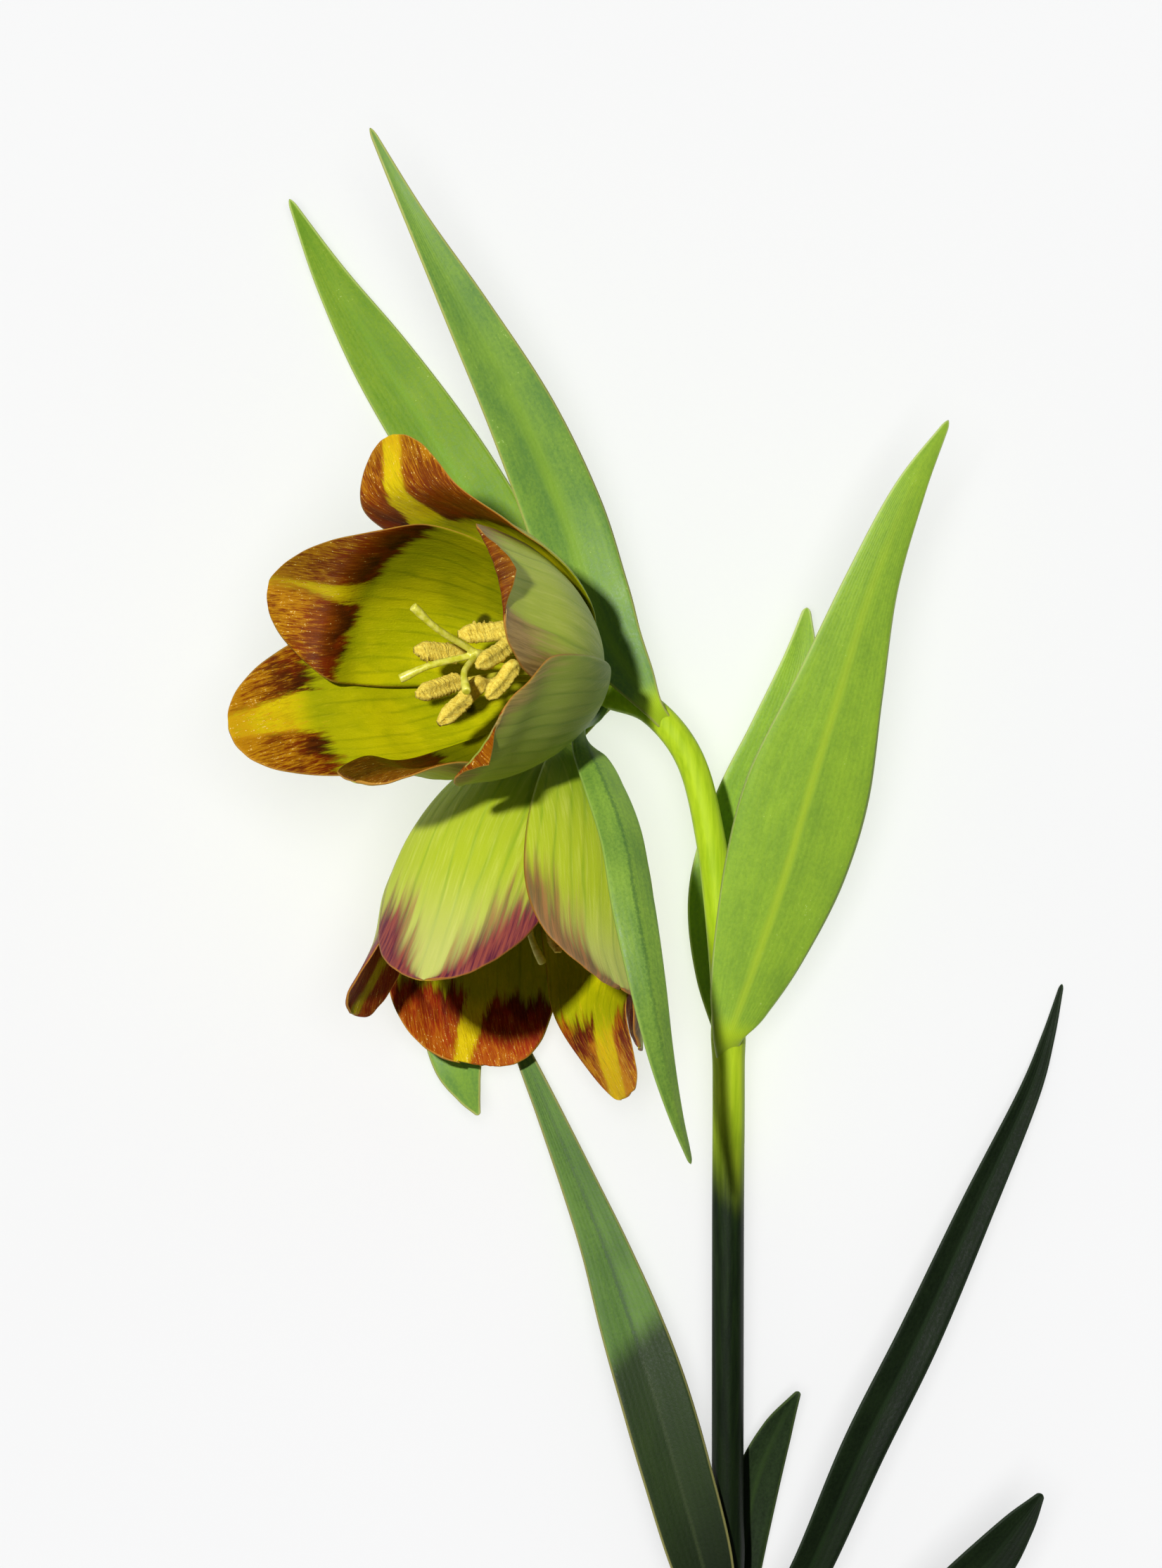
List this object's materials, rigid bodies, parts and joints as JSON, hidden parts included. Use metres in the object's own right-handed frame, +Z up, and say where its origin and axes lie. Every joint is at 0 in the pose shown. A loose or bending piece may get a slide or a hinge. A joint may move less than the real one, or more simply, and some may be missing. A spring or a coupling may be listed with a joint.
{
  "type": "fritillary flower stem",
  "caption": "Cut leafy stem of a bell fritillary, lying on its side, with open nodding bells of overlapping tepals on an arched neck.",
  "frame": {"origin": "on the surface the stem lies on, under the middle of the part's box", "axes": "+Y along the stem from its cut end towards the crown leaves, +X across the stem to the right, +Z up from the surface"},
  "size_m": [0.0948, 0.1982, 0.0518],
  "materials": {
    "stem": "smooth waxy plant stem, bright yellow-green at the neck and dark green below",
    "upper_leaf": "soft satin leaf with fine lengthwise veins and thin pale margins",
    "lower_leaf": "dark satin leaf with fine lengthwise veins",
    "tepal": "glossy yellow-green tepal with green veins and a streaked maroon-brown margin",
    "stamen": "powdery pale yellow pollen on the anther",
    "pistil": "smooth translucent yellow-green"
  },
  "bodies": {
    "root": {"stem": "stem", "crown_leaf_tall": "upper_leaf", "crown_leaf_back": "upper_leaf", "crown_leaf_drooping": "upper_leaf", "crown_leaf_under": "upper_leaf", "whorl_leaf_front": "upper_leaf", "whorl_leaf_back": "upper_leaf", "lower_leaf_left": "lower_leaf", "lower_leaf_right": "lower_leaf", "lower_leaf_short": "lower_leaf", "lowest_leaf": "lower_leaf", "upper_tepal_1": "tepal", "upper_tepal_2": "tepal", "upper_tepal_3": "tepal", "upper_tepal_4": "tepal", "upper_tepal_5": "tepal", "upper_tepal_6": "tepal", "upper_stamen_1": "stamen", "upper_stamen_2": "stamen", "upper_stamen_3": "stamen", "upper_stamen_4": "stamen", "upper_stamen_5": "stamen", "upper_stamen_6": "stamen", "upper_pistil": "pistil", "lower_tepal_1": "tepal", "lower_tepal_2": "tepal", "lower_tepal_3": "tepal", "lower_tepal_4": "tepal", "lower_tepal_5": "tepal", "lower_tepal_6": "tepal", "lower_stamen_1": "stamen", "lower_stamen_2": "stamen", "lower_stamen_3": "stamen", "lower_stamen_4": "stamen", "lower_stamen_5": "stamen", "lower_stamen_6": "stamen", "lower_pistil": "pistil"}
  },
  "joints": []
}
